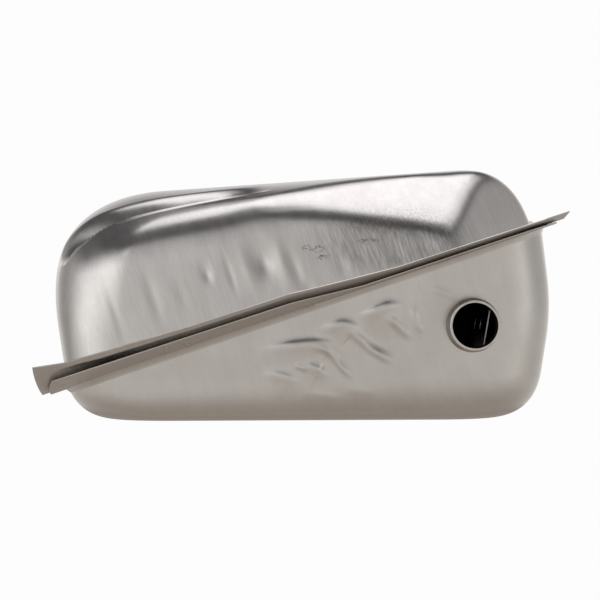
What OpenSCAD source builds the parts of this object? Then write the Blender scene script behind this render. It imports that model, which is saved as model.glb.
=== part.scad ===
// Bare pressed-steel fuel tank: two deep-drawn shells joined at a sloping flanged seam.
// The tank stands on its flat floor, with +Z up, and its filler neck points along -Y.
// Both shells are worked out in the seam frame: x along the seam, y across the tank,
// z square to the seam plane.

/* [Body] */
// Length of the body along the seam
body_length = 450; // [440:1:470]
// Depth of the body across the seam
body_depth = 190; // [184:1:200]
// Height of the seam above the floor at the middle of the tank
seam_height = 102; // [98:1:108]
// Slope of the seam, degrees
seam_slope = 18.7; // [17.5:0.1:19.5]
// Thickness of the steel sheet
sheet = 1; // [0.8:0.1:1.2]
// Size of the upright corner blends
corner_blend = 50; // [40:1:60]

/* [Upper pressing] */
// Height of the roof above the seam plane at the middle
roof_height = 121.5; // [116:0.5:126]
// Fall of the roof along the seam, degrees
roof_pitch = 14.7; // [13:0.1:16]
// Rise of the roof towards the far side, degrees
roof_roll = 4.3; // [3:0.1:6]
// Height of the left bevel plane at the middle
left_bevel_height = 154.5; // [151:0.1:158]
// Fall of the left bevel along the seam, degrees
left_bevel_pitch = 5.7; // [4:0.1:7]
// Rise of the left bevel towards the far side, degrees
left_bevel_roll = 34.4; // [32:0.1:37]
// Height of the right bevel plane at the middle
right_bevel_height = 209.5; // [206:0.1:213]
// Fall of the right bevel along the seam, degrees
right_bevel_pitch = 23.6; // [22:0.1:25]
// Rise of the right bevel towards the far side, degrees
right_bevel_roll = 53.2; // [51:0.1:55]
// Distance of the near right corner facet from the middle
facet_reach = 168; // [162:0.5:175]
// Turn of the corner facet from the side wall, degrees
facet_turn = 43.4; // [40:0.1:48]
// Size of the blend between the far wall and the roof
roof_side_blend = 62; // [50:1:70]
// Size of the blend between the left end wall and the roof
roof_left_blend = 115; // [100:1:135]
// Size of the blend between the right end wall and the roof
roof_right_blend = 46; // [38:1:52]
// Size of the blend along the left bevel
left_crease_blend = 22; // [14:1:30]
// Size of the blend where the left bevel turns the corner
left_corner_blend = 30; // [22:1:50]
// Size of the blend at the other creases
crease_blend = 8; // [6:1:12]
// Depth of the channel behind the lip
channel_depth = 15; // [6:0.5:17]

/* [Lower pressing] */
// Size of the floor edge blend at the left end
floor_left_blend = 26; // [22:1:30]
// Size of the floor edge blend at the right end
floor_right_blend = 46; // [40:1:50]
// Reach of the knuckle wall at the right end
knuckle_reach = 250.7; // [249:0.1:254]
// Draft of the knuckle wall, degrees
knuckle_draft = 27.2; // [25:0.1:29]

/* [Flange] */
// Reach of the ears past the body, at each end
ear_reach = 20; // [16:1:26]
// Reach of the upper flange past the near and far walls
flange_reach = 25; // [22:1:30]
// Half the width of the trimmed end between two ears
ear_inset = 76; // [70:1:85]
// Distance between the two flange sheets at the seam weld
seam_gap = 1; // [0.6:0.1:1.4]

/* [Filler neck] */
// Bore radius of the neck
neck_bore = 20; // [18:0.1:21]
// Wall of the neck tube
neck_wall = 1.2; // [1:0.1:1.6]
// Neck place along the tank
neck_x = 152.9; // [140:0.1:160]
// Neck height above the floor
neck_z = 86.4; // [80:0.1:92]
// How far the mouth stands out from mid-depth
neck_mouth = 109.5; // [106:0.1:114]

/* [Fuel tap boss] */
// Radius of the tapped hole at its thread crests
tap_bore = 7.46; // [6:0.01:8]
// Outer radius of the boss
tap_boss = 12; // [11:0.1:14]
// Boss place along the tank
tap_x = 120; // [90:1:130]
// Boss height above the floor
tap_z = 68; // [64:1:80]

/* [Baffles] */
// Main baffle place along the tank
main_baffle_x = -30; // [-60:1:0]
// Top of the main baffle above the floor
main_baffle_top = 80; // [70:1:85]
// End baffle place along the tank, at the height of the neck
end_baffle_x = 167; // [164:0.5:168]
// Lean of the end baffle, degrees
end_baffle_lean = 9.7; // [5:0.1:12]
// Radius of the flow holes
flow_hole = 12; // [8:0.5:14]

/* [Hidden] */
$fn = 96;

half_length = body_length / 2;
half_depth = body_depth / 2;
seam_x = 3;                     // middle of the seam along X
left_draft = 8;                 // upper wall drafts
right_draft = 4;
side_draft = 6;
low_left_draft = 8;             // lower wall drafts
low_right_draft = 11.1;
low_side_draft = 5;
low_right_step = 2.5;           // the lower right wall stands out past the upper one

crease_end = 90;                // the near creases start to soften this far from the middle
crease_fade = 80;
left_crease_end = -150;
left_crease_fade = 60;
lip_y = -57;                    // top edge of the left bevel, in front of the channel
channel_drop = 6;               // the channel falls away this fast behind the lip
channel_rise = 22;              // and climbs back this slowly
facet_draft = 3;
ear_x = half_length + ear_reach;
ear_y = half_depth + flange_reach;
end_trim = half_length + 11;    // end edge between two ears
ear_shoulder = 6;               // slope at the inner side of an ear
curl = 158;                     // larger values draw a lifted ear in less
low_flange_x = half_length + 13;
low_flange_y = half_depth + 20;
low_flange_blend = 42;
root = 3;                       // reach of the bend between a wall and its flange
weld_in = 4;                    // seam weld band, out from the rim
weld_out = 9;
foot = 5.5;                     // where the walls turn into the flanges
lift_start = ear_inset + 2;     // flange lift fades to nothing here
rings = 14;
arm_x = half_length - corner_blend;
arm_y = half_depth - corner_blend;
upper_pole = -30;
lower_pole = 30;
search_steps = 22;

// Lift of the flange edges out of the seam plane, along the seam
near_lift = [[-246, 25], [-215, 20], [-97, 15], [-8, 14], [30, 10.5], [90, 6], [246, 4]];
far_lift = [[-246, -6], [246, 7]];
low_near_lift = [[-238, 10.4], [-8, 8], [55, 2.4], [238, 1]];
low_far_share = 0.8;

// ---- Plain maths ----

function share(x) = min(max(x, 0), 1);
function mix(a, b, t) = a + (b - a) * t;
function ease(x) = let (t = share(x)) t * t * (3 - 2 * t);

// Larger of two distances, rounded where they are within k of each other
function smooth_max(a, b, k) = max(a, b) + pow(max(k - abs(a - b), 0), 2) / (4 * k);

// ---- Signed distances to the planes of the body, in the seam frame ----

function wall(out, reach, draft, rise) = (out - reach) * cos(draft) + rise * sin(draft);

function tilted_roof(p, height, pitch, roll) =
    (p.z - height + tan(pitch) * p.x - tan(roll) * p.y) / norm([tan(pitch), tan(roll), 1]);

function floor_height(p) = seam_height + p.x * sin(seam_slope) + p.z * cos(seam_slope);

function upper_ends(p) = max(
    wall(-p.x, half_length, left_draft, p.z),
    wall(p.x, half_length, right_draft, p.z));

// Channel pressed in behind the lip of the left bevel
function channel(p) =
    channel_depth
    * ease((p.y - lip_y) / channel_drop)
    * (1 - ease((p.y - lip_y - channel_drop) / channel_rise))
    * ease((10 - p.x) / 80)
    * ease((floor_height(p) - 138) / 30);

function corner_facet(p) =
    (p.x * sin(facet_turn) - p.y * cos(facet_turn) - facet_reach) * cos(facet_draft)
    + p.z * sin(facet_draft);

// The near roof edge is a tight crease that softens towards the upright corners
function side_blend(p) = let (soft = mix(corner_blend, roof_side_blend, ease(p.z / 100)))
    p.y > 0 ? soft : mix(crease_blend, soft, ease((abs(p.x) - crease_end) / crease_fade));

// The crease below the left bevel opens out as it turns the corner
function left_crease(x) =
    mix(left_crease_blend, left_corner_blend, ease((left_crease_end - x) / left_crease_fade));

function upper_body(p) = let (
        arch = smooth_max(
            upper_ends(p),
            tilted_roof(p, roof_height, roof_pitch, roof_roll),
            p.x < 0 ? roof_left_blend : roof_right_blend),
        closed = smooth_max(arch, wall(abs(p.y), half_depth, side_draft, p.z), side_blend(p)),
        left_cut = channel(p) + smooth_max(
            closed,
            tilted_roof(p, left_bevel_height, left_bevel_pitch, left_bevel_roll),
            left_crease(p.x)),
        right_cut = smooth_max(
            left_cut,
            tilted_roof(p, right_bevel_height, right_bevel_pitch, right_bevel_roll),
            crease_blend)
    )
    smooth_max(right_cut, corner_facet(p), crease_blend);

function lower_ends(p) = max(
    wall(-p.x, half_length, low_left_draft, -p.z),
    smooth_max(
        wall(p.x, half_length + low_right_step, low_right_draft, -p.z),
        wall(p.x, knuckle_reach, knuckle_draft, -p.z),
        crease_blend));

function lower_body(p) = smooth_max(
    smooth_max(lower_ends(p), wall(abs(p.y), half_depth, low_side_draft, -p.z), corner_blend),
    -floor_height(p),
    mix(floor_left_blend, floor_right_blend, share(0.5 + p.x / body_length)));

function plan(p, x, y, k) = smooth_max(abs(p.x) - x, abs(p.y) - y, k);

// ---- Stations round the flange, anticlockwise seen from above ----

// One quarter of the upper flange outline, from mid-side to mid-end, at the near right corner
long_steps = 7;
corner_edge = [
    for (i = [0:long_steps - 1]) [arm_x * i / long_steps, -ear_y],
    for (i = [0:4]) [mix(arm_x, ear_x, i / 5), -ear_y],
    for (i = [0:3]) [ear_x, -mix(ear_y, ear_inset, i / 4)],
    [ear_x, -ear_inset],
    [end_trim, -ear_inset + ear_shoulder],
    [end_trim, -mix(ear_inset - ear_shoulder, arm_y, 0.5)],
    [end_trim, -arm_y],
    [end_trim, -arm_y / 2]
];
last = len(corner_edge) - 1;
outline = [
    for (i = [0:last]) corner_edge[i],
    [end_trim, 0],
    for (i = [last:-1:0]) [corner_edge[i].x, -corner_edge[i].y],
    for (i = [1:last]) [-corner_edge[i].x, -corner_edge[i].y],
    [-end_trim, 0],
    for (i = [last:-1:1]) [-corner_edge[i].x, corner_edge[i].y]
];
count = len(outline);

function arm(p) = [sign(p.x) * min(abs(p.x), arm_x), sign(p.y) * min(abs(p.y), arm_y)];
function flat(p, z) = [p.x, p.y, z];

// Distance along a ray at which a field reaches a level
function reach(field, from, dir, level, low, high, left = search_steps) =
    left == 0 ? (low + high) / 2 :
    let (mid = (low + high) / 2)
    field(from + dir * mid) < level
        ? reach(field, from, dir, level, mid, high, left - 1)
        : reach(field, from, dir, level, low, mid, left - 1);

arms = [for (p = outline) arm(p)];
dirs = [for (i = [0:count - 1]) (outline[i] - arms[i]) / norm(outline[i] - arms[i])];
rim_field = function (p) plan(p, half_length, half_depth, corner_blend);
edge_field = function (p) plan(p, low_flange_x, low_flange_y, low_flange_blend);
rim = [for (i = [0:count - 1]) reach(rim_field, arms[i], dirs[i], 0, 0, 120)];
low_edge = [for (i = [0:count - 1]) reach(edge_field, arms[i], dirs[i], 0, 0, 120)];

function fade(y) = share((y - lift_start) / (ear_y - lift_start));
function edge_lift(p) = lookup(p.x, near_lift) * fade(-p.y) + lookup(p.x, far_lift) * fade(p.y);
function low_edge_lift(p) =
    lookup(p.x, low_near_lift) * fade(-p.y) + low_far_share * lookup(p.x, far_lift) * fade(p.y);
function slope(i) = low_edge_lift(outline[i]) / (low_edge[i] - rim[i]);

// Ring where a wall's bend meets the flange
function root_ring(field, level, side, z) = [
    for (i = [0:count - 1]) let (
            from = flat(arms[i], side * foot),
            out = root + reach(field, from, flat(dirs[i], 0), level, 0, 120)
        )
        flat(arms[i] + dirs[i] * out, z + slope(i) * max(out - rim[i], 0))
];

// Ring of points a given distance out from the rim, offset square to the seam plane
function band(out, z) = [
    for (i = [0:count - 1]) flat(arms[i] + dirs[i] * (rim[i] + out), z + slope(i) * out)
];
// The edge of a lifted ear draws in towards the body
function drawn_in(p) = [p.x * (1 - pow(edge_lift(p) / curl, 2)), p.y];
function upper_edge(z) = [for (p = outline) flat(drawn_in(p), z + edge_lift(p))];
function lower_edge(z) = [
    for (i = [0:count - 1]) flat(arms[i] + dirs[i] * low_edge[i], z + low_edge_lift(outline[i]))
];

// ---- Rings over a dome, from the pole down to the wall foot ----

function foot_ring(field, level, z) = [
    for (i = [0:count - 1]) let (from = flat(arms[i], z), dir = flat(dirs[i], 0))
        from + dir * reach(field, from, dir, level, 0, 120)
];

function dome_ring(field, level, feet, centre, depth, angle) = [
    for (p = feet) let (
            local = mix(depth(p.x), depth(centre.x), pow(sin(angle), 2)),
            dir = (p - centre) * cos(angle) + [0, 0, local] * sin(angle)
        )
        centre + dir * reach(field, centre, dir, level, 0, 2)
];

function dome_pole(field, level, centre, depth) =
    let (dir = [0, 0, depth(centre.x)]) centre + dir * reach(field, centre, dir, level, 0, 2);

function dome(field, level, z, pole, depth) = let (
        feet = foot_ring(field, level, z),
        centre = [pole, 0, z]
    )
    [for (r = [rings - 1:-1:1]) dome_ring(field, level, feet, centre, depth, 90 * r / rings), feet];

function turned(list) = [for (i = [len(list) - 1:-1:0]) list[i]];

// ---- Closed surfaces made of rings ----

function cell(r, i, next) = let (j = (i + 1) % count)
    [r * count + i, r * count + j, next * count + j, next * count + i];

// Shell between two poles
module ring_shell(first_pole, all_rings, last_pole) {
    last_ring = len(all_rings) - 1;
    points = [for (r = all_rings) each r, first_pole, last_pole];
    first = count * (last_ring + 1);
    faces = [
        for (i = [0:count - 1]) [first, (i + 1) % count, i],
        for (r = [0:last_ring - 1], i = [0:count - 1])
            let (c = cell(r, i, r + 1)) each [[c[0], c[1], c[2]], [c[0], c[2], c[3]]],
        for (i = [0:count - 1])
            [last_ring * count + i, last_ring * count + (i + 1) % count, first + 1]
    ];
    polyhedron(points, faces);
}

// Closed loop of four or more rings, such as a weld bead
module ring_loop(all_rings) {
    total = len(all_rings);
    faces = [
        for (r = [0:total - 1], i = [0:count - 1])
            let (c = cell(r, i, (r + 1) % total)) each [[c[0], c[1], c[3]], [c[1], c[2], c[3]]]
    ];
    polyhedron([for (r = all_rings) each r], faces);
}

module in_seam_frame() {
    translate([seam_x, 0, seam_height]) rotate([0, -seam_slope, 0]) children();
}

// ---- Pressings ----

upper_field = function (p) upper_body(p);
lower_field = function (p) lower_body(p);
upper_rise = function (x) roof_height - tan(roof_pitch) * x;
lower_drop = function (x) -(seam_height + x * sin(seam_slope)) / cos(seam_slope);
half_gap = seam_gap / 2;

module upper_shell() {
    color("#b9b6b1")
    in_seam_frame() ring_shell(
        dome_pole(upper_field, 0, [upper_pole, 0, foot], upper_rise),
        concat(
            dome(upper_field, 0, foot, upper_pole, upper_rise),
            [
                root_ring(upper_field, 0, 1, half_gap + sheet),
                band(weld_in, half_gap + sheet),
                band(weld_out, half_gap + sheet),
                upper_edge(half_gap + sheet),
                upper_edge(half_gap),
                band(weld_out, half_gap),
                band(weld_in, half_gap),
                root_ring(upper_field, -sheet, 1, half_gap)
            ],
            turned(dome(upper_field, -sheet, foot, upper_pole, upper_rise))
        ),
        dome_pole(upper_field, -sheet, [upper_pole, 0, foot], upper_rise));
}

module lower_pressing() {
    in_seam_frame() ring_shell(
        dome_pole(lower_field, -sheet, [lower_pole, 0, -foot], lower_drop),
        concat(
            dome(lower_field, -sheet, -foot, lower_pole, lower_drop),
            [
                root_ring(lower_field, -sheet, -1, -half_gap),
                band(weld_in, -half_gap),
                band(weld_out, -half_gap),
                lower_edge(-half_gap),
                lower_edge(-half_gap - sheet),
                band(weld_out, -half_gap - sheet),
                band(weld_in, -half_gap - sheet),
                root_ring(lower_field, 0, -1, -half_gap - sheet)
            ],
            turned(dome(lower_field, 0, -foot, lower_pole, lower_drop))
        ),
        dome_pole(lower_field, 0, [lower_pole, 0, -foot], lower_drop));
}

module seam_weld() {
    color("#8f8a84")
    in_seam_frame() ring_loop([
        band(weld_in, half_gap),
        band(weld_out, half_gap),
        band(weld_out, -half_gap),
        band(weld_in, -half_gap)
    ]);
}

// ---- Places on the flat side walls of the lower pressing ----

// Block inside a side wall, measured inward from the wall's outer face
module wall_space(far, inset, thick) {
    big = 400;
    in_seam_frame() mirror([0, far ? 1 : 0, 0])
        translate([0, -half_depth, 0]) rotate([low_side_draft, 0, 0])
            translate([-big, inset, -big]) cube([2 * big, thick, 2 * big]);
}

function seam_point(x, z) = [
    (x - seam_x) * cos(seam_slope) + (z - seam_height) * sin(seam_slope),
    (z - seam_height) * cos(seam_slope) - (x - seam_x) * sin(seam_slope)
];
function wall_y(x, z) = half_depth + seam_point(x, z)[1] * tan(low_side_draft);

// Puts children on the outer face of a side wall, with +Z pointing straight out of it
module on_wall(far, x, z) {
    p = seam_point(x, z);
    in_seam_frame() mirror([0, far ? 1 : 0, 0])
        translate([p[0], -wall_y(x, z), p[1]]) rotate([90 + low_side_draft, 0, 0]) children();
}

// Puts children at mid-depth, with +Z pointing out through a side wall
module across(far, x, z) {
    translate([x, 0, z]) rotate([far ? -90 : 90, 0, 0]) children();
}

// ---- Lower pressing with its two holes ----

hole_play = 0.1;
neck_outer = neck_bore + neck_wall;

module lower_shell() {
    color("#b5b1ab")
    difference() {
        lower_pressing();
        across(false, neck_x, neck_z) cylinder(r = neck_outer + hole_play, h = 2 * half_depth);
        across(true, tap_x, tap_z) cylinder(r = tap_boss + hole_play, h = 2 * half_depth);
    }
}

// ---- Filler neck ----

neck_inside = 5;                // how far the tube passes into the tank
lip_radius = 1.1;               // rolled edge of the mouth
weld_leg = 3;

module filler_neck() {
    start = wall_y(neck_x, neck_z) - neck_inside;
    color("#c4c0ba")
    across(false, neck_x, neck_z) difference() {
        union() {
            translate([0, 0, start]) cylinder(r = neck_outer, h = neck_mouth - start - lip_radius);
            translate([0, 0, neck_mouth - lip_radius])
                rotate_extrude() translate([neck_outer, 0]) circle(r = lip_radius);
            translate([0, 0, neck_mouth - 2 * lip_radius])
                cylinder(r = neck_outer, h = 2 * lip_radius);
        }
        cylinder(r = neck_bore, h = 2 * half_depth);
    }
}

module fillet_weld(far, x, z, radius) {
    difference() {
        on_wall(far, x, z) cylinder(r1 = radius + weld_leg, r2 = radius + weld_leg / 5, h = weld_leg);
        across(far, x, z) cylinder(r = radius, h = 2 * half_depth);
    }
}

module filler_neck_weld() {
    color("#8f8a84") fillet_weld(false, neck_x, neck_z, neck_outer);
}

// ---- Fuel tap boss ----

boss_out = 10;                  // length outside the wall
boss_in = 4;                    // length inside the wall

module outlet_boss() {
    face = wall_y(tap_x, tap_z);
    color("#9a958e")
    across(true, tap_x, tap_z) difference() {
        translate([0, 0, face - boss_in]) cylinder(r = tap_boss, h = boss_in + boss_out);
        cylinder(r = tap_bore, h = 2 * half_depth);
    }
}

module outlet_boss_weld() {
    color("#8f8a84") fillet_weld(true, tap_x, tap_z, tap_boss);
}

// ---- Baffles ----

weld_rise = 0.5;                // height of the projection welds under the tabs
tab_gap = sheet + weld_rise;    // outer face of the wall to outer face of a tab
tab_width = 15;
corner_clear = 46;              // corner cut that clears the floor blend
floor_tab = 30;                 // half length of a baffle's floor tab
end_baffle_near = -70;          // near edge of the end baffle
end_baffle_top = 140;
end_tab_low = 60;
end_tab_high = 120;

// Prism along X from an outline in Y and Z
module yz_prism(outline_points) {
    big = 300;
    translate([-big, 0, 0]) rotate([90, 0, 90]) linear_extrude(2 * big) polygon(outline_points);
}

module inside_walls() {
    big = 400;
    intersection() {
        wall_space(false, tab_gap, big);
        wall_space(true, tab_gap, big);
    }
}

module side_tab(far, x, low, high) {
    intersection() {
        wall_space(far, tab_gap, sheet);
        translate([x, -half_depth - tab_width, low])
            cube([tab_width, 2 * (half_depth + tab_width), high - low]);
    }
}

module main_baffle() {
    side = wall_y(main_baffle_x, corner_clear);
    tab_low = corner_clear + 6;
    over = 8;
    color("#a8a49e")
    difference() {
        union() {
            intersection() {
                translate([main_baffle_x, -half_depth, 0])
                    cube([sheet, 2 * half_depth, main_baffle_top]);
                inside_walls();
                yz_prism([
                    [-side - over, corner_clear + over],
                    [-side + corner_clear - tab_gap, tab_gap],
                    [side - corner_clear + tab_gap, tab_gap],
                    [side + over, corner_clear + over],
                    [side + over, main_baffle_top],
                    [-side - over, main_baffle_top]
                ]);
            }
            translate([main_baffle_x, -floor_tab, tab_gap]) cube([tab_width, 2 * floor_tab, sheet]);
            for (far = [false, true]) side_tab(far, main_baffle_x, tab_low, main_baffle_top - 5);
        }
        for (y = [-48, 0, 48])
            translate([main_baffle_x - 1, y, main_baffle_top / 2]) rotate([0, 90, 0])
                cylinder(r = flow_hole, h = sheet + 2);
    }
}

function end_baffle_at(z) = end_baffle_x + (z - neck_z) * tan(end_baffle_lean);

module end_baffle() {
    side = wall_y(end_baffle_x, corner_clear);
    slab = 300;
    over = 8;
    color("#a8a49e")
    difference() {
        union() {
            intersection() {
                translate([end_baffle_x, 0, neck_z]) rotate([0, end_baffle_lean, 0])
                    translate([0, -slab, -slab]) cube([sheet, 2 * slab, 2 * slab]);
                wall_space(true, tab_gap, slab);
                yz_prism([
                    [end_baffle_near, tab_gap - end_baffle_near / 2],
                    [end_baffle_near / 2, tab_gap],
                    [side - corner_clear + tab_gap, tab_gap],
                    [side + over, corner_clear + over],
                    [side + over, end_baffle_top],
                    [end_baffle_near, end_baffle_top]
                ]);
            }
            translate([end_baffle_at(tab_gap) + sheet - tab_width, -floor_tab, tab_gap])
                cube([tab_width, 2 * floor_tab, sheet]);
            intersection() {
                wall_space(true, tab_gap, sheet);
                translate([end_baffle_x, 0, neck_z]) rotate([0, end_baffle_lean, 0])
                    translate([sheet - tab_width, 0, end_tab_low - neck_z])
                        cube([tab_width, slab, end_tab_high - end_tab_low]);
            }
        }
        for (y = [-25, 25])
            translate([end_baffle_at(neck_z) - slab / 2, y, neck_z]) rotate([0, 90, 0])
                cylinder(r = flow_hole, h = slab);
    }
}

spot_radius = 3;

module floor_spot(x, y) {
    translate([x, y, sheet]) cylinder(r = spot_radius, h = weld_rise);
}

module wall_spot(far, x, z) {
    intersection() {
        wall_space(far, sheet, weld_rise);
        across(far, x, z) cylinder(r = spot_radius, h = 2 * half_depth);
    }
}

module baffle_spot_welds() {
    mid_tab = tab_width / 2 + 1;
    color("#8f8a84") {
        for (y = [-22, 0, 22]) floor_spot(main_baffle_x + mid_tab, y);
        for (far = [false, true], z = [58, 69]) wall_spot(far, main_baffle_x + mid_tab, z);
        for (y = [-22, 0, 22]) floor_spot(end_baffle_at(tab_gap) - mid_tab + sheet, y);
        for (z = [68, 90, 112]) wall_spot(true, end_baffle_at(z) - mid_tab + sheet, z);
    }
}

upper_shell();
lower_shell();
seam_weld();
filler_neck();
filler_neck_weld();
outlet_boss();
outlet_boss_weld();
main_baffle();
end_baffle();
baffle_spot_welds();
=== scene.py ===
"""Bare pressed-steel fuel tank: fine shells, dents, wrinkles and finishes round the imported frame."""
import math

import bmesh
import bpy
import numpy as np
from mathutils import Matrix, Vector


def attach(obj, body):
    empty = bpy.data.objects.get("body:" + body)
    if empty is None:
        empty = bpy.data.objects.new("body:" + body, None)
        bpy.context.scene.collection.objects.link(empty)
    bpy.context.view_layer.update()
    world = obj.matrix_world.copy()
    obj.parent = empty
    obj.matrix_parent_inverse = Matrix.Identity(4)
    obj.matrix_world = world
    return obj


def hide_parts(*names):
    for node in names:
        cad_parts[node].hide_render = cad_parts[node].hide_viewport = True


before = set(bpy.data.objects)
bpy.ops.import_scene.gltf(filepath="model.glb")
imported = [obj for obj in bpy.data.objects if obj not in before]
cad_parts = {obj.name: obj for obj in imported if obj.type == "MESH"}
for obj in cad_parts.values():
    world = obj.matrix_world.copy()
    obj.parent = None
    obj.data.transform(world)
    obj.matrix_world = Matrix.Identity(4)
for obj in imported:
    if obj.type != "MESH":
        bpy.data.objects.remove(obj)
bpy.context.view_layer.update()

MM = 0.001

# ---------------------------------------------------------------- driving sizes, in mm and degrees
HALF_LENGTH = 225.0
HALF_DEPTH = 95.0
SEAM_X = 3.0
SEAM_HEIGHT = 102.0
SEAM_SLOPE = 18.7
SHEET = 1.0
CORNER_BLEND = 50.0
CREASE_BLEND, LEFT_CREASE_BLEND = 8.0, 22.0
CREASE_END, CREASE_FADE = 90.0, 80.0
LEFT_CORNER_BLEND, LEFT_CREASE_END, LEFT_CREASE_FADE = 30.0, -150.0, 60.0

ROOF = (121.5, 14.7, 4.3)            # height, pitch and roll of each plane of the upper pressing
LEFT_BEVEL = (154.5, 5.7, 34.4)
RIGHT_BEVEL = (209.5, 23.6, 53.2)
FACET_REACH, FACET_TURN, FACET_DRAFT = 168.0, 43.4, 3.0
ROOF_SIDE_BLEND = 62.0
ROOF_LEFT_BLEND = 115.0
ROOF_RIGHT_BLEND = 46.0
LEFT_DRAFT, RIGHT_DRAFT, SIDE_DRAFT = 8.0, 4.0, 6.0
CHANNEL_DEPTH, LIP_Y, CHANNEL_DROP, CHANNEL_RISE = 15.0, -57.0, 6.0, 22.0
CHANNEL_END, CHANNEL_FADE = 10.0, 80.0           # along the tank
CHANNEL_FOOT, CHANNEL_FOOT_FADE = 138.0, 30.0    # height above the floor
LIP_RISE, LIP_WIDTH, LIP_SHIFT, LIP_FADE = 0.9, 1.6, 0.5, 60.0
INNER_LEAD = 14.0

LOW_LEFT_DRAFT, LOW_RIGHT_DRAFT, LOW_SIDE_DRAFT = 8.0, 11.1, 5.0
LOW_RIGHT_STEP = 2.5
KNUCKLE_REACH, KNUCKLE_DRAFT = 250.7, 27.2
FLOOR_LEFT_BLEND, FLOOR_RIGHT_BLEND = 26.0, 46.0

EAR_REACH, EAR_INSET, EAR_SHOULDER = 20.0, 76.0, 6.0
FLANGE_REACH = 25.0
END_TRIM = HALF_LENGTH + 11
LOW_FLANGE = (HALF_LENGTH + 13, HALF_DEPTH + 20, 42.0)
CURL = 158.0
HALF_GAP = 0.5
ROOT, WELD_IN, WELD_OUT = 3.0, 4.0, 9.0
FOOT = 5.5
NEAR_LIFT = ((-246, 25), (-215, 20), (-97, 15), (-8, 14), (30, 10.5), (90, 6), (246, 4))
FAR_LIFT = ((-246, -6), (246, 7))
LOW_NEAR_LIFT = ((-238, 10.4), (-8, 8), (55, 2.4), (238, 1))
LOW_FAR_SHARE = 0.8

ARM = np.array([HALF_LENGTH - CORNER_BLEND, HALF_DEPTH - CORNER_BLEND])
EAR = np.array([HALF_LENGTH + EAR_REACH, HALF_DEPTH + FLANGE_REACH])
UPPER_POLE, LOWER_POLE = -30.0, 30.0

NECK_X, NECK_Z, NECK_OUTER = 152.9, 86.4, 21.2
TAP_X, TAP_Z, TAP_OUTER = 120.0, 68.0, 12.0
HOLE_PLAY = 0.1

SLOPE = math.radians(SEAM_SLOPE)
ALONG = np.array([math.cos(SLOPE), 0.0, math.sin(SLOPE)])
ACROSS = np.array([0.0, 1.0, 0.0])
SQUARE = np.array([-math.sin(SLOPE), 0.0, math.cos(SLOPE)])
SEAM_ORIGIN = np.array([SEAM_X, 0.0, SEAM_HEIGHT])


# ---------------------------------------------------------------- plain maths
def tan(angle):
    return math.tan(math.radians(angle))


def mix(a, b, t):
    return a + (b - a) * t


def ease(x):
    t = np.clip(x, 0, 1)
    return t * t * (3 - 2 * t)


def smooth_max(a, b, k):
    """Larger of two distances, rounded where they are within k of each other."""
    return np.maximum(a, b) + np.maximum(k - np.abs(a - b), 0) ** 2 / (4 * k)


def lookup(x, table):
    xs, ys = zip(*table)
    return np.interp(x, xs, ys)


def to_world(p):
    return SEAM_ORIGIN + p[..., :1] * ALONG + p[..., 1:2] * ACROSS + p[..., 2:3] * SQUARE


def from_world(w):
    d = w - SEAM_ORIGIN
    return np.stack([d @ ALONG, d @ ACROSS, d @ SQUARE], axis=-1)


# ---------------------------------------------------------------- the body as a field, in the seam frame
def wall(out, reach, draft, rise):
    a = math.radians(draft)
    return (out - reach) * math.cos(a) + rise * math.sin(a)


def tilted_roof(p, height, pitch, roll):
    level = p[..., 2] - height + tan(pitch) * p[..., 0] - tan(roll) * p[..., 1]
    return level / math.sqrt(tan(pitch) ** 2 + tan(roll) ** 2 + 1)


def floor_height(p):
    return SEAM_HEIGHT + p[..., 0] * math.sin(SLOPE) + p[..., 2] * math.cos(SLOPE)


def channel_share(p, fade):
    """One over the channel's length, falling to nothing at its right end and low on the left end."""
    right = ease((CHANNEL_END - p[..., 0]) / fade)
    return right * ease((floor_height(p) - CHANNEL_FOOT) / CHANNEL_FOOT_FADE)


def channel(p, lead=0.0):
    """How far the channel behind the lip sinks into the roof; a lead starts it in front of the lip."""
    y = p[..., 1] - LIP_Y
    drop = ease((y + lead) / CHANNEL_DROP)
    across = drop * (1 - ease((y - CHANNEL_DROP) / CHANNEL_RISE))
    return CHANNEL_DEPTH * across * channel_share(p, CHANNEL_FADE)


def lip(p):
    """Thin bead pinched up along the lip, in front of the channel."""
    across = (p[..., 1] - LIP_Y + LIP_SHIFT) / LIP_WIDTH
    return LIP_RISE * np.exp(-across ** 2) * channel_share(p, LIP_FADE)


def corner_facet(p):
    turn, draft = math.radians(FACET_TURN), math.radians(FACET_DRAFT)
    out = p[..., 0] * math.sin(turn) - p[..., 1] * math.cos(turn) - FACET_REACH
    return out * math.cos(draft) + p[..., 2] * math.sin(draft)


def side_blend(p):
    """The near roof edge is a tight crease that softens towards the upright corners."""
    soft = mix(CORNER_BLEND, ROOF_SIDE_BLEND, ease(p[..., 2] / 100))
    near = mix(CREASE_BLEND, soft, ease((np.abs(p[..., 0]) - CREASE_END) / CREASE_FADE))
    return np.where(p[..., 1] < 0, near, soft)


def left_crease(x):
    """The crease below the left bevel opens out as it turns the corner."""
    return mix(LEFT_CREASE_BLEND, LEFT_CORNER_BLEND, ease((LEFT_CREASE_END - x) / LEFT_CREASE_FADE))


def upper_body(p):
    x, y, z = p[..., 0], p[..., 1], p[..., 2]
    ends = np.maximum(wall(-x, HALF_LENGTH, LEFT_DRAFT, z), wall(x, HALF_LENGTH, RIGHT_DRAFT, z))
    body = smooth_max(ends, tilted_roof(p, *ROOF), np.where(x < 0, ROOF_LEFT_BLEND, ROOF_RIGHT_BLEND))
    body = smooth_max(body, wall(np.abs(y), HALF_DEPTH, SIDE_DRAFT, z), side_blend(p))
    body = channel(p) - lip(p) + smooth_max(body, tilted_roof(p, *LEFT_BEVEL), left_crease(x))
    body = smooth_max(body, tilted_roof(p, *RIGHT_BEVEL), CREASE_BLEND)
    return smooth_max(body, corner_facet(p), CREASE_BLEND)


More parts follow.
